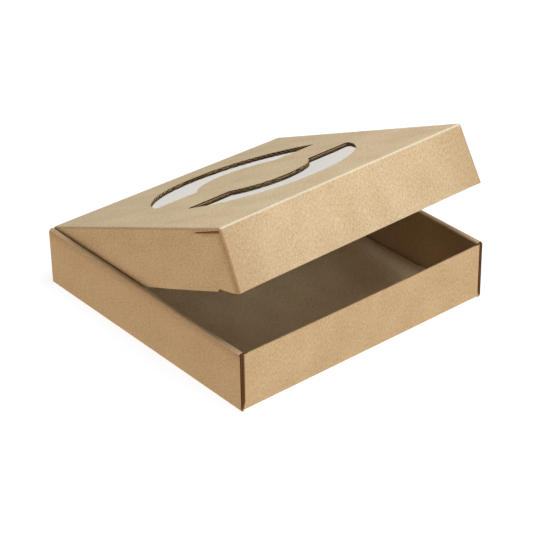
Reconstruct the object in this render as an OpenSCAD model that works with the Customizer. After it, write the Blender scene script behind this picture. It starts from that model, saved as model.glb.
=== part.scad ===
// Shallow pie box of kraft micro-flute board. One blank folds into a tray with rolled side walls
// and a hinged lid with web corners; clear film is glued behind the lid's two window openings.
// X runs along the hinge, the front is at -Y, the box stands on Z = 0.

/* [Board] */
// Thickness of the micro-flute board
board_t = 1.5; // [1.3:0.1:1.8]
// Outer radius of a creased fold
fold_r = 2; // [1.9:0.1:2.6]
// Gap between two layers of board that lie folded together
layer_gap = 0.1; // [0.05:0.05:0.2]

/* [Tray] */
// Width of the tray outside, along the hinge
tray_w = 250; // [240:5:300]
// Depth of the tray outside, front to back
tray_d = 246; // [236:2:300]
// Height of the rolled side walls
tray_h = 51.3; // [48:0.1:56]
// Length of the corner tabs inside the rolled side walls
tab_len = 58; // [40:1:90]
// Height taken off each corner tab's rear end
tab_taper = 6; // [2:1:10]
// Length of the slot in the floor that locks a side wall
slot_len = 116; // [60:2:150]
// Width of that slot left open beside the lock tab
slot_open = 0.7; // [0.4:0.1:1]
// Gap between an inner side panel's foot and the floor
foot_gap = 0.3; // [0.2:0.1:0.6]
// How far the rolled top stands back from the raw front edge
roll_setback = 0.8; // [0.4:0.1:1.5]

/* [Lid] */
// Angle by which the lid stands open from closed
open_angle = 23.4; // [10:0.2:35]
// Side clearance between lid and tray
lid_clear = 0.3; // [0.2:0.05:0.4]
// Clearance between the lid's front flap and the front wall as the flap swings past it
swing_clear = 0.3; // [0.2:0.05:0.6]
// Clearance between the closed lid's front flap and the floor
floor_clear = 0.3; // [0.2:0.1:1]
// Depth of the lid's side panels
side_h = 48.7; // [44:0.1:49]
// How far forward of the hinge a side panel starts, at its top
side_rear = 3; // [2.2:0.2:5]
// How much further forward it starts at its foot
side_rear_slant = 5; // [2:0.5:8]
// Distance of the notch in a side panel's foot from the front corner
notch_back = 22; // [18:1:30]
// Depth of that notch
notch_h = 3; // [2:0.5:4]
// Length of the slit under a side fold at the front corner
slit_len = 33; // [24:1:40]
// Height of that slit at the front corner
slit_h = 1.8; // [1:0.1:2.2]
// Depth below the lid's top at which the slit ends
slit_foot = 3.7; // [3:0.1:4.5]
// Radius of the groove between the creases of a web corner
groove_r = 0.7; // [0.4:0.1:0.9]
// Length of the folded web against a side panel
web_len = 40; // [30:1:44]

/* [Window] */
// Radius of the window ring's outer edge
ring_r = 85; // [75:0.5:92]
// Radius of the disc of board left in the middle
disc_r = 46; // [36:0.5:54]
// Width of the strip of board left across the ring
strip_w = 45; // [30:1:60]
// Corner radius of the openings' outer corners on one end
corner_r = 3; // [2:0.5:5]
// Offset of the ring's centre from the lid's middle, along the hinge
ring_x = 5; // [-6:0.5:6]
// Distance of the ring's centre from the hinge
ring_y = 113; // [100:1:124]
// Thickness of the clear film
film_t = 0.15; // [0.1:0.05:0.3]
// Width of film glued down beyond the ring
film_rim = 10; // [5:1:14]

/* [Hidden] */
$fn = 64;
half_w = tray_w / 2;
half_d = tray_d / 2;
// Inner radius of a fold
in_r = fold_r - board_t;
// A rolled wall holds an outer panel, a corner tab and an inner panel
stack = 3 * board_t + 2 * layer_gap;
// A corner tab's outer face lies just inside the outer panel
tab_x = half_w - board_t - layer_gap;
tab_foot = board_t + foot_gap;
// Top of the front wall, of the tabs and of the back wall beside the hinge
wall_top = tray_h - board_t - layer_gap;
// The inner side panels end just short of the front and back walls
panel_end = half_d - board_t - foot_gap;
lid_w = tray_w - 2 * stack - 2 * lid_clear;
flap_h = tray_h - board_t - floor_clear;
// The flap's foot swings on this radius, inside the front wall
swing_r = tray_d - board_t - swing_clear;
lid_d = sqrt(swing_r * swing_r - flap_h * flap_h);
// Half the gap between the mitred edges that meet at the hinge
mitre_gap = 0.15;
// Depth by which folded-in layers run into the panel that carries them
root = board_t / 2;
over = 1;

// Section of two panels at right angles, joined by a creased fold at the origin's corner
module fold_section(run, rise) {
    difference() {
        union() {
            translate([fold_r, 0]) square([run - fold_r, rise]);
            translate([0, fold_r]) square([run, rise - fold_r]);
            translate([fold_r, fold_r]) circle(fold_r);
        }
        translate([fold_r, board_t]) square([run, rise]);
        translate([board_t, fold_r]) square([run, rise]);
        translate([fold_r, fold_r]) circle(in_r);
    }
}

// Rectangle with rounded corners from x0 to x1 and y0 to y1
module rounded_rect(x0, x1, y0, y1, r) {
    translate([x0 + r, y0]) square([x1 - x0 - 2 * r, y1 - y0]);
    translate([x0, y0 + r]) square([x1 - x0, y1 - y0 - 2 * r]);
    for (x = [x0 + r, x1 - r], y = [y0 + r, y1 - r]) translate([x, y]) circle(r);
}

// Turns a section drawn in X and Z into a bar along Y, from y0 to y1
module along_y(y0, y1) {
    translate([0, y1, 0]) rotate([90, 0, 0]) linear_extrude(y1 - y0) children();
}

// Turns a section drawn in Y and Z into a bar along X, from x0 to x1
module along_x(x0, x1) {
    translate([x0, 0, 0]) rotate([90, 0, 90]) linear_extrude(x1 - x0) children();
}

// Right side wall: outer panel, flat top between two creases, inner panel down to the floor
module rolled_wall() {
    difference() {
        along_y(-half_d, half_d) difference() {
            rounded_rect(half_w - stack, half_w, 0, tray_h, fold_r);
            rounded_rect(half_w - stack + board_t, half_w - board_t, board_t, tray_h - board_t, in_r);
            translate([half_w - stack - over, -over]) square([board_t + over, over + tab_foot]);
        }
        // the rolled top starts a little behind the raw edges of the outer panel
        for (end = [-1, 1]) translate([half_w - stack - over, end * half_d - roll_setback, tray_h - fold_r])
            cube([stack + 2 * over, 2 * roll_setback, fold_r + over]);
        // the inner panel ends short of the front and back walls
        for (end = [-1, 1]) translate([half_w - stack - over, end * half_d - (half_d - panel_end), -over])
            cube([board_t + over + layer_gap / 2, 2 * (half_d - panel_end), tray_h - board_t + over]);
    }
}

// Lock tab at the foot of the right wall's inner panel, held in the floor's slot
module lock_tab() {
    translate([half_w - stack, slot_open - slot_len / 2, foot_gap])
        cube([board_t, slot_len - 2 * slot_open, tab_foot + in_r]);
}

// Slot in the floor for the right side wall's lock tab
module lock_slot() {
    translate([half_w - stack - slot_open, -slot_len / 2, -over])
        cube([slot_open + board_t + layer_gap, slot_len, board_t + 2 * over]);
}

// Corner bend of a front or back wall, with its tab inside the right side wall
module corner_tab() {
    difference() {
        translate([tab_x, -half_d, tab_foot]) mirror([1, 0, 0])
            linear_extrude(wall_top - layer_gap - tab_foot) fold_section(fold_r + over, tab_len);
        // the tab's rear end tapers, so that it slides into the rolled wall
        for (z = [tab_foot, wall_top]) translate([tab_x, tab_len - half_d, z]) rotate([0, 90, 0])
            rotate([0, 0, 45]) cube([tab_taper, tab_taper, 4 * fold_r], center = true);
    }
}

// Front wall with its bottom fold, from corner bend to corner bend
module front_wall() {
    along_x(-tab_x + fold_r, tab_x - fold_r) translate([-half_d, 0])
        fold_section(2 * fold_r, wall_top - layer_gap);
}

// Top of the back wall between the rolled walls, mitred at the hinge crease
module hinge_edge() {
    along_x(-lid_w / 2, lid_w / 2) polygon([
        [half_d - board_t, tab_foot], [half_d, tab_foot],
        [half_d, tray_h - mitre_gap], [half_d - board_t, tray_h - board_t - mitre_gap]]);
}

module tray() {
    color("#b39469") {
        for (side = [0, 1]) mirror([side, 0, 0]) {
            difference() {
                rolled_wall();
                lock_slot();
            }
            lock_tab();
            for (end = [0, 1]) mirror([0, end, 0]) corner_tab();
        }
        for (end = [0, 1]) mirror([0, end, 0]) front_wall();
        hinge_edge();
        difference() {
            translate([fold_r - half_w, fold_r - half_d, 0])
                cube([tray_w - 2 * fold_r, tray_d - 2 * fold_r, board_t]);
            for (side = [0, 1]) mirror([side, 0, 0]) lock_slot();
        }
    }
}

// Places what is drawn closed, with the hinge crease along X, at the open angle on the tray
module on_hinge() {
    translate([0, half_d, tray_h]) rotate([-open_angle, 0, 0]) children();
}

// Block under the lid's top face with creased top, sides and front, open to the rear and foot
module lid_block(w, d, top, foot, r) {
    intersection() {
        along_y(-d, over) rounded_rect(-w / 2, w / 2, foot - 2 * r, top, r);
        along_x(-w / 2, w / 2) rounded_rect(-d, 2 * r + over, foot - 2 * r, top, r);
        translate([0, 0, foot]) linear_extrude(top - foot) rounded_rect(-w / 2, w / 2, -d, 2 * r + over, r);
    }
}

// Foot outline of a side panel: straight, a notch, then a bow down to the flap's foot
module side_foot_cut() {
    bow_r = (notch_back * notch_back + notch_h * notch_h) / (2 * notch_h);
    difference() {
        union() {
            translate([-lid_d + notch_back, -flap_h - over]) square([lid_d, over + flap_h - side_h]);
            translate([-lid_d + notch_back, -side_h])
                polygon([[0, -over], [0, notch_h], [notch_h + over, -over]]);
            translate([-lid_d, -flap_h - over]) square([notch_back, over + notch_h + flap_h - side_h]);
        }
        translate([-lid_d, -flap_h + bow_r]) circle(bow_r, $fn = 180);
    }
}

// Slit that opens a side fold at the front corner
module side_slit() {
    polygon([[-lid_d + board_t, -slit_foot], [-lid_d + board_t, -slit_foot + slit_h],
             [-lid_d + slit_len, -slit_foot + slit_h / 8], [-lid_d + slit_len, -slit_foot]]);
}

// Two openings of a ring, parted by the disc and the strip across it
module window_openings() {
    for (turn = [0, 180]) translate([ring_x, -ring_y]) rotate(turn) difference() {
        intersection() {
            circle(ring_r, $fn = 180);
            translate([-ring_r, strip_w / 2]) square([2 * ring_r, ring_r]);
        }
        circle(disc_r, $fn = 120);
        end_corner();
    }
}

// What rounds an opening's outer corner where the strip meets the ring's outer edge
module end_corner() {
    reach = sqrt(pow(ring_r - corner_r, 2) - pow(strip_w / 2 + corner_r, 2));
    difference() {
        translate([-ring_r, strip_w / 2 - over])
            square([ring_r - reach, over + corner_r * (1 + strip_w / 2 / ring_r)]);
        translate([-reach, strip_w / 2 + corner_r]) circle(corner_r);
    }
}

// Web folded double against the right side panel, carried by the front flap
module folded_web() {
    web_x = lid_w / 2 - board_t - layer_gap;
    web_top = slit_foot + layer_gap;
    corner = [-lid_d + board_t - root, -web_top];
    tail = [-lid_d + board_t + web_len, -web_top - web_len];
    for (layer = [0, 1]) along_x(web_x - board_t - layer * (board_t + layer_gap),
                                 web_x - layer * (board_t + layer_gap))
        polygon([corner, tail, [corner[0], tail[1]]]);
    // the crease that joins both layers along the diagonal, between them
    crease_r = board_t + layer_gap / 2;
    translate([web_x - crease_r, tail[0], tail[1]]) rotate([45, 0, 0])
        translate([0, 0, crease_r]) cylinder(r = crease_r, h = web_len * sqrt(2) - 2 * crease_r);
}

module lid() {
    color("#c2a67c") on_hinge() {
        difference() {
            lid_block(lid_w, lid_d, 0, -flap_h, fold_r);
            lid_block(lid_w - 2 * board_t, lid_d - board_t, -board_t, -flap_h - over, in_r);
            // rear edge of the top panel, mitred to meet the back wall
            along_x(-half_w, half_w) polygon([[-mitre_gap, over], [-mitre_gap, 0],
                [-board_t - mitre_gap, -board_t], [-side_rear, -board_t - layer_gap],
                [-side_rear - side_rear_slant, -flap_h - over], [2 * over, -flap_h - over], [2 * over, over]]);
            along_x(-half_w, half_w) side_foot_cut();
            along_x(-half_w, half_w) side_slit();
            for (side = [-1, 1]) translate([side * (lid_w / 2 - fold_r * (1 - sqrt(0.5))),
                                            fold_r * (1 - sqrt(0.5)) - lid_d, -flap_h - over])
                cylinder(r = groove_r, h = flap_h + over - fold_r);
            translate([0, 0, -board_t - over]) linear_extrude(board_t + 2 * over) window_openings();
        }
        for (side = [0, 1]) mirror([side, 0, 0]) folded_web();
    }
}

module window_film() {
    half_film = ring_r + film_rim;
    color("#dfe6ea", 0.4) on_hinge()
        translate([ring_x - half_film, -ring_y - half_film, -board_t - film_t])
            cube([2 * half_film, 2 * half_film, film_t]);
}

tray();
lid();
window_film();
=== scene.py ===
# %% [markdown]
# # A pie box of kraft micro-flute board
# The solids from the CAD step give every size.

# %% Load the frame
import math

import bmesh
import bpy
from mathutils import Matrix, Vector
from mathutils.bvhtree import BVHTree


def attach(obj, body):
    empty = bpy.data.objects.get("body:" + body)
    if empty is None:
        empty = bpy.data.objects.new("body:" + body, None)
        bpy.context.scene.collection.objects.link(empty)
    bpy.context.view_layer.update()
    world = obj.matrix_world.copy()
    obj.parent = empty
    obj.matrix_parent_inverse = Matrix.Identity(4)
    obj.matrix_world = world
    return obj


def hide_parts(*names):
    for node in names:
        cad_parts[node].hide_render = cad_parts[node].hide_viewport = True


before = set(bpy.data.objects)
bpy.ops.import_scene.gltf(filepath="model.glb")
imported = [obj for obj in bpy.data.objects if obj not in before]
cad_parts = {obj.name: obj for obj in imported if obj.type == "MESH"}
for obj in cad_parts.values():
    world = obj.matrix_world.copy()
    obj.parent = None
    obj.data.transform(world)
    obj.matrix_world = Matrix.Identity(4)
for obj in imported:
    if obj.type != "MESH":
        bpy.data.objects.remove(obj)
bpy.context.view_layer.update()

print("CAD nodes:", sorted(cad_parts))

# %% [markdown]
# ## The camera
# It stands in front of the box, to its left and above it, and is rolled by a degree. Its angle,
# distance and lens were solved from the box's corners in the photograph, so it comes first.

# %% Camera
MM = 0.001


def look_from(azimuth, elevation, roll, distance, shift_right, shift_up, lens_px):
    """Camera that looks along an angle at a point beside the box's foot; lengths in mm."""
    az, el, turn = map(math.radians, (azimuth, elevation, roll))
    back = Vector((math.sin(az) * math.cos(el), -math.cos(az) * math.cos(el), math.sin(el)))
    right = (-back).cross(Vector((0, 0, 1))).normalized()
    up = right.cross(-back)
    place = (right * shift_right + up * shift_up + back * distance) * MM
    right, up = (right * math.cos(turn) + up * math.sin(turn),
                 up * math.cos(turn) - right * math.sin(turn))
    camera = bpy.data.objects.new("camera", bpy.data.cameras.new("camera"))
    camera.matrix_world = Matrix((right, up, back)).transposed().to_4x4()
    camera.location = place
    camera.data.lens = lens_px / 533 * camera.data.sensor_width
    bpy.context.scene.collection.objects.link(camera)
    bpy.context.scene.camera = camera
    return camera


camera = look_from(-39.24, 30.93, -1.01, 1631.96, 1.75, 18.54, 1993.09)
print("camera at", [round(c, 3) for c in camera.location], "lens", round(camera.data.lens, 1))

# %% [markdown]
# ## Sizes of the sheet
# These repeat the values of the part's source, in metres, because the finish depends on them.
# The lid is drawn closed: Y is minus the distance from the hinge and Z is minus the depth.

# %% Sizes
BOARD_T = 1.5 * MM
FOLD_R = 2 * MM
FLUTE_PITCH = 3.3 * MM
HALF_W, HALF_D, TRAY_H = 125 * MM, 123 * MM, 51.3 * MM
LID_HALF_W, LID_D, FLAP_H = 120 * MM, 239.13 * MM, 49.5 * MM
SLIT_H, SLIT_FOOT = 1.8 * MM, 3.7 * MM
SLIT_START, SLIT_END = 1.4 * MM, 33.1 * MM
# the groove in a web corner: how far its middle lies from both faces, and how far it reaches
GROOVE, GROOVE_REACH = 0.586 * MM, 0.72 * MM
RING_X, RING_Y = 5 * MM, 113 * MM
SLOT_EDGE_X, SLOT_HALF = 119.6 * MM, 58.1 * MM
CELL = 12 * MM
OPEN_ANGLE = 23.4
HINGE = Vector((0, HALF_D, TRAY_H))
LID_TO_ROOM = Matrix.Translation(HINGE) @ Matrix.Rotation(math.radians(-OPEN_ANGLE), 4, "X")
TRAY_TO_ROOM = Matrix.Identity(4)


def ramp(value, low, high):
    """Smooth step from 0 at low to 1 at high."""
    t = min(max((value - low) / (high - low), 0), 1)
    return t * t * (3 - 2 * t)


print("lid panel", round(LID_D / MM, 1), "mm deep, open", OPEN_ANGLE, "degrees")

# %% [markdown]
# ## How folded board springs
# A closed lid is pressed in by the tray. Once it is open its side panels and flap spread, because
# the creases push back, though not where the tray's walls still hold them. The tray's front wall
# bows out, and the film sags between its glue lines. Moving the points of a finely cut mesh by a
# formula keeps every panel smooth; a lattice or a bone would do it with more parts.

# %% Spring of lid, film and tray
def side_spread(p, away, depth):
    """Where the lid's spread puts a point across the box."""
    wide = p.x * (1 + away * (0.012 + 0.017 * depth / FLAP_H)) + 1.2 * MM * away
    # between the tray's walls the side panels can't spread; above them they spring out
    spread = abs(wide) - abs(p.x)
    above = max((LID_TO_ROOM @ p).z - TRAY_H - 9 * MM, 0)
    room_left = (0.15 * MM + 0.3 * above) * abs(p.x) / LID_HALF_W
    if spread > 1e-7 and abs(p.x) > LID_HALF_W / 2:
        held = spread * room_left / (spread ** 4 + room_left ** 4) ** 0.25
        near_side = ramp(abs(p.x), LID_HALF_W / 2, LID_HALF_W - 5 * MM)
        wide = math.copysign(abs(p.x) + spread + (held - spread) * near_side, p.x)
    return wide


def lid_spring(p):
    """Spread, twist and lean of the lid, and its softened corners; all grow with the distance."""
    away = min(max(-p.y / LID_D, 0), 1)
    depth = max(-p.z, 0)
    u, v = LID_HALF_W - abs(p.x), LID_D + p.y
    wide = side_spread(p, away, depth)
    twist = 1.4 * MM * p.x / LID_HALF_W * away
    lean = math.tan(math.radians(5)) * depth * ramp(away, 0.75, 1)
    at_foot = ramp(depth, FLAP_H - 9 * MM, FLAP_H)
    rise = -0.35 * MM * at_foot * (1 - ramp(math.hypot(u, v), 0, 12 * MM))
    # the groove between the creases of a web corner fills out to a round fold
    if depth > 1.9 * MM and math.hypot(u - GROOVE, v - GROOVE) < GROOVE_REACH:
        out = 1.9 * MM / math.hypot(u - FOLD_R, v - FOLD_R)
        if out > 1:
            wide += math.copysign((FOLD_R - u) * (out - 1), p.x)
            lean += (FOLD_R - v) * (out - 1)
    # behind the slit its lower lip hangs open, and the lip's inner edge is pressed up
    lower_lip = SLIT_START < v < SLIT_END and abs(depth - SLIT_FOOT) < 0.03 * MM
    if lower_lip and u < 1.6 * MM:
        rise -= 0.5 * MM
        if u > 1.4 * MM:
            rise += 0.9 * SLIT_H * (1 - 0.875 * (v - BOARD_T) / (31.5 * MM))
    return Vector((wide, p.y - lean, p.z + twist + rise))


def film_spring(p):
    """The film hangs a little below the board between its glue lines."""
    from_ring = math.hypot(p.x - RING_X, p.y + RING_Y)
    sag = MM * (0.08 + 0.35 * (1 - ramp(from_ring, 70 * MM, 92 * MM)))
    return lid_spring(p - Vector((0, 0, sag)))


def tray_spring(p):
    """The front wall bows out a little, and turns in more roundly at its corners."""
    front = ramp(-p.y, 119 * MM, 121 * MM)
    bow = 0.9 * MM * (1 - (p.x / HALF_W) ** 2) * ramp(p.z, 0, TRAY_H) * front
    # the bends pull away from the side walls' raw edges; the inner panels stay where they are
    side = abs(p.x)
    inner_panel = p.y > -121.25 * MM and side < 121.82 * MM
    if side < 123.45 * MM and p.z < 49.7 * MM and not inner_panel:
        pull = ramp(side, 118 * MM, 121.4 * MM) * ramp(-p.y, 110 * MM, 119 * MM)
        side -= (1.7 if p.x < 0 else 0.5) * MM * pull * ramp(p.z, 1.8 * MM, 6 * MM)
    # the lock tab has pushed the slot's free edge back
    if abs(side - SLOT_EDGE_X) < 0.05 * MM and abs(p.y) < SLOT_HALF and p.z < 1.6 * MM:
        side -= 0.9 * MM
    # the right wall's rolled top is pressed down a little where it ends at the back
    at_end = ramp(p.x, 120.5 * MM, 121.5 * MM) * ramp(p.y, 95 * MM, 120 * MM)
    drop = 1.3 * MM * at_end * ramp(p.z, 40 * MM, 50 * MM)
    return Vector((math.copysign(side, p.x), p.y - bow, p.z - drop))


corner = lid_spring(Vector((LID_HALF_W, -LID_D, 0)))
print("a top corner of the lid springs to", [round(c / MM, 1) for c in corner])

# %% [markdown]
# ## Where a point lies on the flat blank
# Both halves were one flat sheet. Its fibres run one way and its flutes the other, over every
# fold. Unfolding each face into the blank's own coordinates carries the pattern round the folds.
# The way a face looks tells which panel it is on.

# %% Unfolding
def unfold_lid(p, normal, middle):
    if abs(normal.x) > 0.6:
        return math.copysign(LID_HALF_W - p.z, middle.x), p.y
    if abs(normal.y) > 0.6:
        return p.x, -LID_D + p.z
    return p.x, p.y


def unfold_tray(p, normal, middle):
    if abs(normal.x) > 0.6:
        return math.copysign(HALF_W + p.z, middle.x), p.y + 1
    if abs(normal.y) > 0.6:
        return p.x, math.copysign(HALF_D + p.z, middle.y) + 1
    return p.x, p.y + 1


print("the tray's map lies 1 m from the lid's, so that no pattern repeats")

# %% [markdown]
# ## Colours and nodes
# Colours are written as sRGB hex and one function turns them to linear. One small function adds a
# node with its settings and links, for materials and for Geometry Nodes alike, and a few others
# use it for what comes often.

# %% Helpers for nodes
def hex_colour(text):
    values = [int(text[i:i + 2], 16) / 255 for i in (1, 3, 5)]
    linear = [v / 12.92 if v <= 0.04045 else ((v + 0.055) / 1.055) ** 2.4 for v in values]
    return (*linear, 1)


def add(tree, kind, inputs=None, **settings):
    node = tree.nodes.new(kind)
    for key, value in settings.items():
        setattr(node, key, value)
    for key, value in (inputs or {}).items():
        if isinstance(value, bpy.types.NodeSocket):
            tree.links.new(value, node.inputs[key])
        else:
            node.inputs[key].default_value = value
    return node


def maths(tree, operation, *values):
    """One Math node on two or three values."""
    inputs = dict(enumerate(values))
    return add(tree, "ShaderNodeMath", inputs, operation=operation).outputs["Value"]


def colour_mix(tree, factor, a, b):
    """Colour between a and b; a Mix node's colour sockets are numbers 6, 7 and 2."""
    return add(tree, "ShaderNodeMix", {0: factor, 6: a, 7: b}, data_type="RGBA").outputs[2]


def shader_mix(tree, factor, a, b):
    return add(tree, "ShaderNodeMixShader", {0: factor, 1: a, 2: b}).outputs[0]


def new_material(name):
    material = bpy.data.materials.new(name)
    material.use_nodes = True
    material.node_tree.nodes.clear()
    return material, material.node_tree


def finish_material(tree, shader):
    add(tree, "ShaderNodeOutputMaterial", {"Surface": shader})


print("kraft reads as", [round(c, 3) for c in hex_colour("#c9ac80")])

# %% [markdown]
# ## Kraft liner
# The faces are uncoated kraft liner: brown pulp with its fibres drawn out along the machine's
# direction, cloudy where the pulp lay thicker, with dark and pale flecks, and faint ribs where it
# spans the flutes. It is matt. The pale line on folds is partly stretched liner and partly a
# painted highlight. The darker brown at creases, grooves and slits is painted shade, with some real
# crush.

# %% Kraft liner material
def kraft_liner(name, dark, light, cream):
    material, tree = new_material(name)
    blank = add(tree, "ShaderNodeUVMap", uv_map="blank").outputs["UV"]
    in_mm = add(tree, "ShaderNodeVectorMath", {0: blank, "Scale": 1000.0},
                operation="SCALE").outputs["Vector"]

    def pulp(across, along, detail, rough=0.55):
        """Noise whose patches measure so many mm across and along the fibres."""
        squeezed = add(tree, "ShaderNodeMapping",
                       {"Vector": in_mm, "Scale": (1 / across, 1 / along, 1)})
        return add(tree, "ShaderNodeTexNoise",
                   {"Vector": squeezed.outputs["Vector"], "Scale": 1.0, "Detail": detail,
                    "Roughness": rough}, noise_dimensions="2D").outputs["Fac"]

    def sums(a, b, weight):
        """a and so much of b."""
        return maths(tree, "MULTIPLY_ADD", b, weight, a)

    def flecks(noise, high, most):
        """The peaks of a noise, from 0 up to the most."""
        return add(tree, "ShaderNodeMapRange", {"Value": noise, "From Min": 0.66,
                   "From Max": high, "To Max": most}).outputs["Result"]

    cloud = pulp(28, 46, 3)
    fibre = pulp(1.1, 3.0, 4, 0.66)
    grain = pulp(0.8, 1.2, 2)
    shade = sums(sums(sums(-0.82, cloud, 0.5), fibre, 1.2), grain, 0.95)
    tone = colour_mix(tree, shade, hex_colour(dark), hex_colour(light))
    # dark shives and pale fibres
    tone = colour_mix(tree, flecks(pulp(1.5, 2.6, 2), 0.78, 0.55), tone, hex_colour("#8f6f47"))
    tone = colour_mix(tree, flecks(pulp(1.2, 3.4, 2, 0.5), 0.8, 0.35), tone, hex_colour("#eadbb8"))
    # marks: X of this map is how far the liner is made pale, partly stretched liner and partly a
    # painted highlight; Y is how far it is darker, mostly painted shade and partly crush
    marks = add(tree, "ShaderNodeSeparateXYZ",
                {0: add(tree, "ShaderNodeUVMap", uv_map="marks").outputs["UV"]})
    # the pale line: partly stretched liner, partly a painted highlight on the folds
    patchy = maths(tree, "MULTIPLY", marks.outputs["X"], sums(0.35, fibre, 1.1))
    tone = colour_mix(tree, patchy, tone, hex_colour(cream))
    # the darker brown: painted shade at creases, grooves, slits and walls, partly real crush on the
    # tray's outer walls
    painted_shade = maths(tree, "MULTIPLY", marks.outputs["Y"], sums(0.2, cloud, 1.3))
    tone = colour_mix(tree, painted_shade, tone, hex_colour("#8c5822"))
    # ribs of the flutes below, a few hundredths of a millimetre high
    ribs = add(tree, "ShaderNodeTexWave",
               {"Vector": in_mm, "Scale": 2 * math.pi / 20 / (FLUTE_PITCH / MM), "Distortion": 0.6,
                "Detail": 1.0}, bands_direction="Y").outputs["Fac"]
    relief = sums(sums(fibre, ribs, 0.25), grain, 0.4)
    bump = add(tree, "ShaderNodeBump", {"Height": relief, "Strength": 0.1, "Distance": 0.00012})
    finish_material(tree, add(tree, "ShaderNodeBsdfPrincipled",
                    {"Base Color": tone, "Roughness": 0.72, "IOR": 1.45,
                     "Normal": bump.outputs["Normal"]}).outputs["BSDF"])
    return material


kraft = kraft_liner("uncoated kraft liner", "#ab8c60", "#dfc59a", "#f3e6c6")
print("made", kraft.name)

# %% [markdown]
# ## Cut board
# A die cuts the sheet and lays open its inside: two liners as thin pale lines, and between them
# the fluting in its own shadow. The cut fibre is rougher and darker than the liner's face. At the
# tray's corners the raw edges were pressed shut, so there is only dark pulp. The same dark finish
# also stands as painted shade in the gap beside them.

# %% Cut edge materials
def cut_board(name, dark, light, roughness):
    material, tree = new_material(name)
    place = add(tree, "ShaderNodeTexCoord").outputs["Object"]
    fibre = add(tree, "ShaderNodeTexNoise", {"Vector": place, "Scale": 1400.0, "Detail": 3.0})
    tone = colour_mix(tree, fibre.outputs["Fac"], hex_colour(dark), hex_colour(light))
    bump = add(tree, "ShaderNodeBump", {"Height": fibre.outputs["Fac"], "Strength": 0.4,
               "Distance": 0.0001})
    finish_material(tree, add(tree, "ShaderNodeBsdfPrincipled",
                    {"Base Color": tone, "Roughness": roughness, "Specular IOR Level": 0.1,
                     "Normal": bump.outputs["Normal"]}).outputs["BSDF"])
    return material


cut_liner = cut_board("die-cut liner edge", "#664a2f", "#937148", 0.9)
core = cut_board("shadowed core of the board", "#1a0c05", "#2b170b", 0.95)
# the same dark finish also paints shade in the gaps beside the corners' raw edges
pressed = cut_board("raw edge pressed shut and painted gap shade", "#6b4427", "#94704a", 0.95)
medium = cut_board("fluting medium", "#b08a5c", "#e8ca98", 0.9)
print("made", cut_liner.name, core.name, pressed.name, medium.name)

# %% [markdown]
# ## From solid to sheet
# The CAD solid shows smooth plain cut edges. A copy of its mesh is merged, cleared of needless
# edges and cut into cells, so that it can bend. Casting a ray inwards tells liner from cut edge:
# behind liner the board is thin, behind a cut edge it is long. Each cut edge is then inset by a
# liner's thickness and sunk, which leaves two lips with a channel between them.

# %% Skin of a folded sheet
LINER_T = 0.2 * MM
SINK = 1.2 * MM
CUT_DEPTH = 3.3 * MM
LINER, LIP, CHANNEL, SHUT_OR_GAP_SHADE = range(4)
BOARD = (kraft, cut_liner, core, pressed)


def grown(node, to_room, step):
    """Merged copy of a CAD node's mesh, laid flat in its own frame and cut into cells."""
    bm = bmesh.new()
    bm.from_mesh(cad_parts[node].data)
    bm.transform(to_room.inverted())
    bmesh.ops.remove_doubles(bm, verts=bm.verts, dist=2e-6)
    bmesh.ops.dissolve_limit(bm, angle_limit=math.radians(0.1), verts=bm.verts, edges=bm.edges)
    bmesh.ops.connect_verts_concave(bm, faces=bm.faces)
    tree = BVHTree.FromBMesh(bm)
    for axis in range(3):
        low = min(v.co[axis] for v in bm.verts)
        high = max(v.co[axis] for v in bm.verts)
        count = int((high - low) / step)
        for k in range(1, count + 1):
            cut = [0, 0, 0]
            cut[axis] = low + (high - low) * (k - 0.37) / (count + 0.3)
            facing = [0, 0, 0]
            facing[axis] = 1
            everything = bm.verts[:] + bm.edges[:] + bm.faces[:]
            made = bmesh.ops.bisect_plane(bm, geom=everything, dist=1e-7, plane_co=cut,
                                          plane_no=facing)["geom_cut"]
            for part in made:
                if isinstance(part, bmesh.types.BMEdge):
                    part.seam = True
    bm.normal_update()
    # at the foot only the cells' own edges stay, because a sliver there can't be inset
    foot = min(v.co.z for v in bm.verts) + 2 * MM
    slivers = [e for e in bm.edges if not e.seam and max(v.co.z for v in e.verts) < foot
               and all(abs(f.normal.z) > 0.9 for f in e.link_faces)]
    bmesh.ops.dissolve_limit(bm, angle_limit=math.radians(0.1), verts=[], edges=slivers,
                             delimit={"SEAM"})
    bm.normal_update()
    return bm, tree


def cut_faces(bm, tree, is_fold):
    """Faces where the die cut the sheet: the board is long behind them, and no fold is there."""
    found = []
    for face in bm.faces:
        middle = face.calc_center_median()
        far = tree.ray_cast(middle - face.normal * 1e-5, -face.normal, 1)[3]
        if (far is None or far > CUT_DEPTH) and not is_fold(middle, face.normal):
            found.append(face)
    return found


def sink_cuts(bm, faces, tree):
    """Opens the cut edges: liner lips, channel walls and the channel's floor."""
    lips = bmesh.ops.inset_region(bm, faces=faces, use_boundary=True, thickness=LINER_T,
                                  depth=0)["faces"]
    walls = bmesh.ops.inset_region(bm, faces=faces, use_boundary=True, thickness=0.02 * MM,
                                   depth=-SINK)["faces"]
    # at tight corners a channel could come out of the board; there it stays just below the surface
    for vert in {v for face in faces for v in face.verts}:
        near, normal = tree.find_nearest(vert.co)[:2]
        if (vert.co - near).dot(normal) > 0.08 * MM:
            vert.co = near - normal * 0.3 * MM
    for face in lips:
        face.material_index = LIP
    for face in walls + faces:
        face.material_index = CHANNEL


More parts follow.
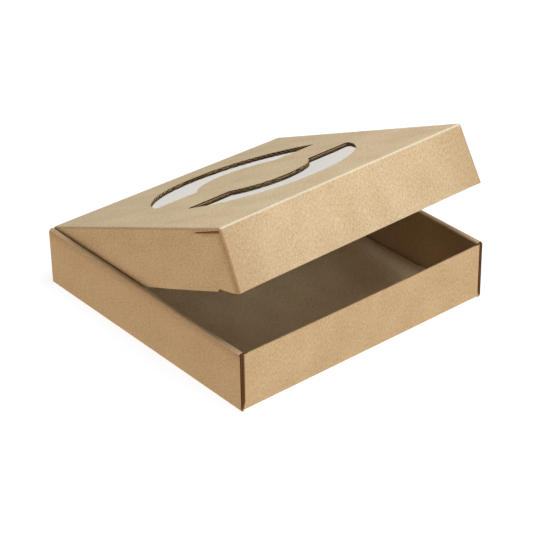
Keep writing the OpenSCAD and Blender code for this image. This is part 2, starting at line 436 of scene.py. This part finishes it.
def sheet_piece(name, bm, to_room, spring, unfold, marks, materials):
    """Gives the sheet its maps, bends it open and makes it an object in the room."""
    blank = bm.loops.layers.uv.new("blank")
    mark_map = bm.loops.layers.uv.new("marks")
    bm.normal_update()
    for face in bm.faces:
        middle = face.calc_center_median()
        for loop in face.loops:
            loop[blank].uv = unfold(loop.vert.co, face.normal, middle)
            loop[mark_map].uv = marks(loop.vert.co, face.normal, middle)
        face.smooth = True
    for edge in bm.edges:
        if len(edge.link_faces) == 2:
            a, b = edge.link_faces
            turn = edge.calc_face_angle(0)
            small, large = sorted((a.calc_area(), b.calc_area()))
            onto_panel = turn > math.radians(1) and large > 3 * small
            edge.smooth = turn < math.radians(25) and not onto_panel
    for vert in bm.verts:
        vert.co = to_room @ spring(vert.co)
    mesh = bpy.data.meshes.new(name)
    bm.to_mesh(mesh)
    piece = bpy.data.objects.new(name, mesh)
    bpy.context.scene.collection.objects.link(piece)
    for material in materials:
        mesh.materials.append(material)
    print(name, len(mesh.polygons), "faces")
    return piece


print("a liner is drawn", LINER_T / MM, "mm thick and a channel", SINK / MM, "mm deep")

# %% [markdown]
# ## Fluting in the cut edges
# The medium is a paper wave glued between the liners. Its height depends only on where a point
# lies across the flutes, so a cut along a flute shows a straight line and a cut across shows a
# wave. Which side it starts on is settled line by line. Geometry Nodes follow the middle line of
# each channel, because the wave follows a rule.
# The line carries three attributes: the way out of the channel, the way across it, with half its
# width, and the place across the flutes.

# %% Middle lines of the channels
def middle_of(edge):
    return (edge.verts[0].co + edge.verts[1].co) / 2


def ladder(sunk, unfold):
    """The channels' floors as rungs: where each is, its three attributes, and what links them."""
    # the list gives the order, because a set's order changes from run to run
    floors = set(sunk)
    rungs, points, links = {}, [], []
    for face in sunk:
        short = [e for e in face.edges if e.calc_length() < BOARD_T]
        inner = [e for e in short if len(e.link_faces) == 2 and floors.issuperset(e.link_faces)]
        if len(inner) == 1:
            last = inner[0]
            inner.append(max((e for e in short if e != last), default=last,
                             key=lambda e: (middle_of(e) - middle_of(last)).length))
        if len(inner) == 2 and inner[0] != inner[1]:
            for edge in inner:
                if edge not in rungs:
                    rungs[edge] = len(points)
                    middle = middle_of(edge)
                    out = sum((f.normal for f in edge.link_faces if f in floors), Vector())
                    out.normalize()
                    across = (edge.verts[1].co - edge.verts[0].co) / 2
                    across -= out * across.dot(out)
                    flute = unfold(middle, out.cross(across).cross(out), middle)[1]
                    points.append([middle, out, across, flute])
            links.append((rungs[inner[0]], rungs[inner[1]]))
    return points, links


def turn_alike(points, links):
    """Makes every across point the same way along one line; two lines may still be mirrored."""
    beside = {}
    for a, b in links:
        beside.setdefault(a, []).append(b)
        beside.setdefault(b, []).append(a)
    seen = set()
    for first in beside:
        if first in seen:
            continue
        stack = [first]
        seen.add(first)
        while stack:
            here = stack.pop()
            for there in beside[here]:
                if there not in seen:
                    seen.add(there)
                    if points[here][2].dot(points[there][2]) < 0:
                        points[there][2] = -points[there][2]
                    stack.append(there)


def channel_lines(name, sunk, unfold):
    """Poly lines along the channels' floors, with out, across and flute attributes."""
    points, links = ladder(sunk, unfold)
    turn_alike(points, links)
    mesh = bpy.data.meshes.new(name)
    mesh.from_pydata([p[0] for p in points], links, [])
    for index, key in ((1, "out"), (2, "across")):
        layer = mesh.attributes.new(key, "FLOAT_VECTOR", "POINT")
        layer.data.foreach_set("vector", [c for p in points for c in p[index]])
    layer = mesh.attributes.new("flute", "FLOAT", "POINT")
    layer.data.foreach_set("value", [p[3] for p in points])
    lines = bpy.data.objects.new(name, mesh)
    bpy.context.scene.collection.objects.link(lines)
    print(name, len(links), "links")
    return lines


print("the lines turn a corner rung by rung, and each rung is shorter than", BOARD_T / MM, "mm")

# %% [markdown]
# ## The wave itself
# The tree sets even points along each line and moves them across by a sine of the flute
# attribute. It draws them out into a wall and gives the wall a thickness. The medium is drawn
# a little thicker than real paper, because a real one would be too fine to show.

# %% The fluting tree
def fluting_tree():
    tree = bpy.data.node_groups.new("fluting in a cut edge", "GeometryNodeTree")
    tree.interface.new_socket("Lines", in_out="INPUT", socket_type="NodeSocketGeometry")
    for label, value in (("Flute pitch", FLUTE_PITCH), ("Reach out of the channel", 1.12 * MM),
                         ("Thickness of the medium", 0.2 * MM), ("Step", 0.4 * MM)):
        socket = tree.interface.new_socket(label, in_out="INPUT", socket_type="NodeSocketFloat")
        socket.default_value = value
    tree.interface.new_socket("Fluting", in_out="OUTPUT", socket_type="NodeSocketGeometry")
    given = add(tree, "NodeGroupInput").outputs

    def named(label, kind):
        return add(tree, "GeometryNodeInputNamedAttribute", {"Name": label},
                   data_type=kind).outputs["Attribute"]

    across = named("across", "FLOAT_VECTOR")
    curve = add(tree, "GeometryNodeMeshToCurve", {"Mesh": given["Lines"]}).outputs["Curve"]
    even = add(tree, "GeometryNodeResampleCurve", {"Curve": curve, "Length": given["Step"]},
               mode="LENGTH").outputs["Curve"]
    line = add(tree, "GeometryNodeCurveToMesh", {"Curve": even}).outputs["Mesh"]
    turns = maths(tree, "DIVIDE", named("flute", "FLOAT"), given["Flute pitch"])
    wave = maths(tree, "SINE", maths(tree, "MULTIPLY", turns, 2 * math.pi))
    offset = add(tree, "ShaderNodeVectorMath",
                 {0: across, "Scale": maths(tree, "MULTIPLY", wave, WAVE_HEIGHT)},
                 operation="SCALE").outputs["Vector"]
    wavy = add(tree, "GeometryNodeSetPosition",
               {"Geometry": line, "Offset": offset}).outputs["Geometry"]
    wall = add(tree, "GeometryNodeExtrudeMesh",
               {"Mesh": wavy, "Offset": named("out", "FLOAT_VECTOR"),
                "Offset Scale": given["Reach out of the channel"]}, mode="EDGES").outputs["Mesh"]
    way = add(tree, "ShaderNodeVectorMath", {0: across}, operation="NORMALIZE").outputs["Vector"]
    thick = add(tree, "GeometryNodeExtrudeMesh",
                {"Mesh": wall, "Offset": way, "Individual": False,
                 "Offset Scale": given["Thickness of the medium"]}, mode="FACES").outputs["Mesh"]
    both = add(tree, "GeometryNodeJoinGeometry")
    tree.links.new(thick, both.inputs[0])
    tree.links.new(add(tree, "GeometryNodeFlipFaces", {"Mesh": wall}).outputs[0], both.inputs[0])
    closed = add(tree, "GeometryNodeMergeByDistance",
                 {"Geometry": both.outputs[0], "Distance": 1e-6}).outputs["Geometry"]
    real = add(tree, "GeometryNodeRealizeInstances", {"Geometry": closed}).outputs["Geometry"]
    dressed = add(tree, "GeometryNodeSetMaterial", {"Geometry": real, "Material": medium})
    add(tree, "NodeGroupOutput", {0: dressed.outputs["Geometry"]})
    return tree


# the wave stops just short of the liners; 1 would be half the channel's width
WAVE_HEIGHT = 0.92
FLUTING = fluting_tree()
print("tree with", len(FLUTING.nodes), "nodes")

# %% [markdown]
# ## From lines to a piece
# The tree runs once, and its result becomes a plain mesh. It is made on the closed, flat lid or
# tray, so it bends by the same formula as the board round it and stays between the liners.

# %% Grow the fluting
def fluting_piece(name, lines, to_room, spring):
    """Runs the tree on the lines and turns the result into a plain mesh in the room."""
    modifier = lines.modifiers.new("fluting", "NODES")
    modifier.node_group = FLUTING
    result = lines.evaluated_get(bpy.context.evaluated_depsgraph_get())
    mesh = bpy.data.meshes.new_from_object(result)
    mesh.name = name
    bpy.data.objects.remove(lines)
    for vert in mesh.vertices:
        vert.co = to_room @ spring(vert.co)
    bm = bmesh.new()
    bm.from_mesh(mesh)
    bmesh.ops.recalc_face_normals(bm, faces=bm.faces)
    bm.to_mesh(mesh)
    piece = bpy.data.objects.new(name, mesh)
    bpy.context.scene.collection.objects.link(piece)
    print(name, len(mesh.polygons), "faces")
    return piece


print("the medium is", medium.name)

# %% [markdown]
# ## Lid
# The lid's front fold carries a pale line, partly stretched liner and partly a painted highlight.
# The folds at the sides, the web corners and the slits get painted shade, and the flap is darker
# towards its ends.

# %% Marks and folds of the lid
def hump(value, middle, half):
    """1 in the middle, and 0 from half a width away."""
    return max(0, 1 - ((value - middle) / half) ** 2)


def lid_marks(p, normal, middle):
    """How far the liner is made pale, partly stretched and partly a painted highlight, and how far
    darker, mostly painted shade.
    """
    on_fold = normal.z > 0.1 and p.z > -2.2 * MM
    # a pale line on the front fold, partly stretched liner and partly a painted highlight
    if normal.y < -0.1 and on_fold:
        turn = math.degrees(math.atan2(p.z + FOLD_R, -p.y - LID_D + FOLD_R))
        return 0.45 * hump(turn, 45, 35), 0.0
    # painted shade on the folds at the sides
    if abs(normal.x) > 0.1 and on_fold:
        turn = math.degrees(math.atan2(p.z + FOLD_R, abs(p.x) - LID_HALF_W + FOLD_R))
        return 0.0, 0.35 * hump(turn, 35, 30)
    u, v = LID_HALF_W - abs(p.x), LID_D + p.y
    # painted shade in the web corner's groove
    if max(LID_HALF_W - abs(middle.x), LID_D + middle.y) < FOLD_R and abs(normal.z) < 0.3:
        return 0.0, 0.6
    # painted shade on the slit's lower lip
    if u < 1.6 * MM and abs(p.z + SLIT_FOOT) < 0.1 * MM and normal.z > 0.9:
        return 0.0, 0.9
    # painted shade on the side panel beside the slit and beside the web corner
    if abs(normal.x) > 0.6 and abs(middle.x) > LID_HALF_W - 1 * MM:
        beside_slit = 1 - ramp(v, 30 * MM, 36 * MM)
        slit = 0.5 * beside_slit * (1 - ramp(-p.z, 3.8 * MM, 5 * MM))
        return 0.0, max(slit, 0.45 * (1 - ramp(v, 1 * MM, 7 * MM)))
    # the flap is darker towards its ends
    if normal.y < -0.6 and middle.y < -LID_D + FOLD_R:
        return 0.0, 0.3 * (1 - ramp(u, 2 * MM, 45 * MM))
    return 0.0, 0.0


def lid_fold(p, normal):
    """The web corner, the slit beside it and the crease at the hinge are pressed, not cut."""
    at_side = abs(p.x) > LID_HALF_W - 2.5 * MM
    web = p.y < -LID_D + 2.5 * MM
    return at_side and (web or p.z > -4.5 * MM) or p.y > -2 * MM and p.z > -2 * MM


print("marks of the lid's front fold, of its side folds, of corners, slits and flap")

# %% [markdown]
# ## The lid's pieces
# First the skin and its channels, then the fluting in them. Both ride on the lid's body.

# %% Lid sheet and its fluting
lid_mesh, lid_rays = grown("lid", LID_TO_ROOM, CELL)
lid_cuts = cut_faces(lid_mesh, lid_rays, lid_fold)
sink_cuts(lid_mesh, lid_cuts, lid_rays)
lid_mesh.normal_update()
lid_lines = channel_lines("lid channel lines", lid_cuts, unfold_lid)
lid_sheet = sheet_piece("lid_sheet", lid_mesh, LID_TO_ROOM, lid_spring, unfold_lid, lid_marks,
                        BOARD)
lid_fluting = fluting_piece("lid_fluting", lid_lines, LID_TO_ROOM, lid_spring)
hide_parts("lid")
for piece in (lid_sheet, lid_fluting):
    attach(piece, "lid_body")

# %% [markdown]
# ## Tray
# The rolled side walls are a little darker all over and carry a darker band just below their top,
# partly crushed liner where the double crease pulls and partly painted shade. Their rolled tops get
# a painted highlight on the outer edge and are darker over the top, and the inner walls get painted
# shade towards the front.
# Their raw edges stand at the four corners. There the board is pressed shut, so they are dark and
# show no wave. The side panels' inner faces beside them, and the bends of the front and back walls
# at the left, get the same dark finish as painted shade of the gap; at the left front corner the
# pull has widened that gap.

# %% Marks and folds of the tray
def tray_marks(p, normal, middle):
    """How far the liner is made pale by a painted highlight, and how far darker: painted shade,
    crush and a darker rolled top.
    """
    # the outer walls: a little darker all over, and a darker band below the top, partly crushed
    # liner and partly painted shade
    if abs(middle.x) > HALF_W - 1 * MM and abs(normal.x) > 0.6:
        below_top = TRAY_H - p.z
        band = (1 - ramp(below_top, 5 * MM, 9 * MM)) * ramp(below_top, 0.8 * MM, 2.5 * MM)
        return 0.0, 0.1 + 0.5 * band
    # painted shade on the inner walls, darker towards the front
    if abs(normal.x) > 0.9 and HALF_W - 5 * MM < abs(middle.x) < HALF_W - 4.6 * MM:
        return 0.0, 0.12 + 0.45 * ramp(-p.y, 60 * MM, 120 * MM)
    # the rolled tops: a painted highlight on the outer edge, and darker over the top and inner side
    if abs(middle.x) > HALF_W - 5 * MM and TRAY_H - 2.1 * MM < middle.z and normal.z > 0.05:
        turn = math.degrees(math.atan2(p.z - TRAY_H + FOLD_R, abs(p.x) - HALF_W + FOLD_R))
        return 0.3 * hump(turn, 35, 18), 0.1 + 0.4 * ramp(turn, 50, 70)
    return 0.0, 0.0


def tray_fold(p, normal):
    """The crease at the hinge is pressed board, and so are the tight corners at the foot."""
    beside_lid = abs(p.x) < LID_HALF_W + 0.5 * MM
    at_hinge = p.y > HALF_D - 2 * MM and p.z > TRAY_H - 3 * MM and beside_lid
    corner = abs(p.x) > HALF_W - 5 * MM and abs(p.y) > HALF_D - 4 * MM
    at_foot = p.z < 3 * MM and (corner or abs(p.y) > HALF_D - 0.5 * MM)
    return at_hinge or at_foot


def at_corner(face):
    middle = face.calc_center_median()
    return abs(middle.x) > 120 * MM and abs(middle.y) > 120.5 * MM


def shut_edge_or_gap_shade(face):
    """Is this face on a raw edge that stands at a corner, or in the gap beside it, which gets
    painted shade?
    """
    middle = face.calc_center_median()
    x, y = abs(middle.x), abs(middle.y)
    edge = x > 123.3 * MM and y > 122.95 * MM and abs(face.normal.y) > 0.9
    # painted shade: the side panel's inner face behind the raw edge, seen through the gap
    behind = abs(x - 123.5 * MM) < 0.05 * MM and y > 117 * MM and abs(face.normal.x) > 0.9
    opened = at_corner(face) and face.material_index in (LIP, CHANNEL)
    # painted shade: the bend of the wall at the left, beside the raw edge
    bend = (middle.x < 0 and 121.3 * MM < x < 123.45 * MM and y > 121 * MM
            and abs(face.normal.x) > 0.4 and middle.z < 49.7 * MM)
    return edge or behind or opened or bend


print("marks of the tray's outer walls, of its inner walls and of their rolled tops")

# %% [markdown]
# ## The tray's pieces
# They are made like the lid's, but the shut corners get their own finish and no fluting; the same
# finish stands as painted shade in the gap beside them.

# %% Tray sheet and its fluting
tray_mesh, tray_rays = grown("tray", TRAY_TO_ROOM, CELL)
tray_cuts = cut_faces(tray_mesh, tray_rays, tray_fold)
sink_cuts(tray_mesh, tray_cuts, tray_rays)
tray_mesh.normal_update()
for face in tray_mesh.faces:
    if shut_edge_or_gap_shade(face):
        face.material_index = SHUT_OR_GAP_SHADE
open_cuts = [face for face in tray_cuts if not at_corner(face)]
tray_lines = channel_lines("tray channel lines", open_cuts, unfold_tray)
tray_sheet = sheet_piece("tray_sheet", tray_mesh, TRAY_TO_ROOM, tray_spring, unfold_tray,
                         tray_marks, BOARD)
tray_fluting = fluting_piece("tray_fluting", tray_lines, TRAY_TO_ROOM, tray_spring)
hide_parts("tray")
for piece in (tray_sheet, tray_fluting):
    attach(piece, "tray_body")

# %% [markdown]
# ## Window film
# Clear polypropylene film, cast smooth: seen at a low angle it mirrors the bright room, and seen
# from above the inside of the box shows through it.

# %% Film material
def clear_film(name):
    material, tree = new_material(name)
    glass = add(tree, "ShaderNodeBsdfPrincipled",
                {"Base Color": hex_colour("#adaba7"), "Roughness": 0.03, "IOR": 1.49,
                 "Transmission Weight": 1.0, "Coat Weight": 0.6, "Coat Roughness": 0.02})
    # the renderer lets no lamp light through clear film; board that lies against it gets some here
    path = add(tree, "ShaderNodeLightPath").outputs
    near = maths(tree, "LESS_THAN", path["Ray Length"], 3 * MM)
    lit = maths(tree, "MULTIPLY", path["Is Shadow Ray"], near)
    through = add(tree, "ShaderNodeBsdfTransparent", {"Color": (0.93, 0.92, 0.9, 1)})
    finish_material(tree, shader_mix(tree, lit, glass.outputs["BSDF"], through.outputs["BSDF"]))
    return material


film = clear_film("clear polypropylene film")
film_mesh = grown("window_film", LID_TO_ROOM, CELL)[0]
film_sheet = sheet_piece("film_sheet", film_mesh, LID_TO_ROOM, film_spring, unfold_lid, lid_marks,
                         (film,))
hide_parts("window_film")
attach(film_sheet, "lid_body")

# %% [markdown]
# ## Floor, light and background
# The box stands on a white sweep that is fully lit, so the floor shows only a faint shadow. A
# large soft lamp stands high in front and to the right, a weak one fills in from the front, and
# what the film mirrors is a little warmer and brighter than the backdrop. The sweep glows by
# itself, also below the box, so a black card there stands in for the shade below the box and
# keeps that glow out of the slots.

# %% Stage
CARD_SIZE = (0.246, 0.242, 1)
WHITE = (1, 1, 1, 1)
MIRRORED = (1, 0.96, 0.905, 1)


def seen_directly(tree, path):
    """1 for what the camera sees, also through the film."""
    return maths(tree, "MAXIMUM", path["Is Camera Ray"], path["Is Transmission Ray"])


def stage_plane(name, size, z, material):
    bpy.ops.mesh.primitive_plane_add(size=size, location=(0, 0, z))
    plane = bpy.context.object
    plane.name = name
    plane.data.materials.append(material)
    return plane


def white_sweep():
    material, tree = new_material("white sweep")
    path = add(tree, "ShaderNodeLightPath").outputs

    def glow(colour, strength):
        return add(tree, "ShaderNodeEmission", {"Color": colour, "Strength": strength}).outputs[0]

    paint = add(tree, "ShaderNodeBsdfDiffuse", {"Color": (0.22, 0.22, 0.22, 1)}).outputs[0]
    shadowed = add(tree, "ShaderNodeAddShader", {0: glow(WHITE, 0.88), 1: paint}).outputs[0]
    other = shader_mix(tree, path["Is Glossy Ray"], glow((1, 0.85, 0.72, 1), 1.43),
                       glow(MIRRORED, 1.17))
    finish_material(tree, shader_mix(tree, seen_directly(tree, path), other, shadowed))
    return material


def black_card():
    material, tree = new_material("black card")
    # painted shade: the card stands for the dark floor below the box
    paint = add(tree, "ShaderNodeBsdfDiffuse", {"Color": (0.01, 0.01, 0.01, 1)})
    finish_material(tree, paint.outputs["BSDF"])
    return material


def white_room(fill):
    world = bpy.data.worlds.new("white room")
    bpy.context.scene.world = world
    world.use_nodes = True
    tree = world.node_tree
    tree.nodes.clear()
    path = add(tree, "ShaderNodeLightPath").outputs

    def background(colour, strength):
        return add(tree, "ShaderNodeBackground", {"Color": colour, "Strength": strength}).outputs[0]

    other = shader_mix(tree, path["Is Glossy Ray"], background(WHITE, fill),
                       background(MIRRORED, 1.1))
    mix = shader_mix(tree, seen_directly(tree, path), other, background(WHITE, 1.0))
    add(tree, "ShaderNodeOutputWorld", {"Surface": mix})


def soft_lamp(name, direction, distance, size, watts, colour):
    data = bpy.data.lights.new(name, "AREA")
    data.color = colour
    data.size = size
    data.energy = watts
    lamp = bpy.data.objects.new(name, data)
    way = Vector(direction).normalized()
    lamp.location = way * distance
    lamp.rotation_euler = way.to_track_quat("Z", "Y").to_euler()
    bpy.context.scene.collection.objects.link(lamp)


stage_plane("floor", 30, -0.2 * MM, white_sweep())
stage_plane("card below the box", 1, -0.1 * MM, black_card()).scale = CARD_SIZE
white_room(0.02)
soft_lamp("key lamp", (0.12, -0.31, 1.0), 1.6, 0.9, 25.5, (0.95, 1.05, 1.22))
soft_lamp("front fill", (0.05, -1.0, 0.9), 1.6, 0.8, 2.1, (0.9, 1.0, 1.2))
bpy.context.scene.view_settings.view_transform = "Standard"
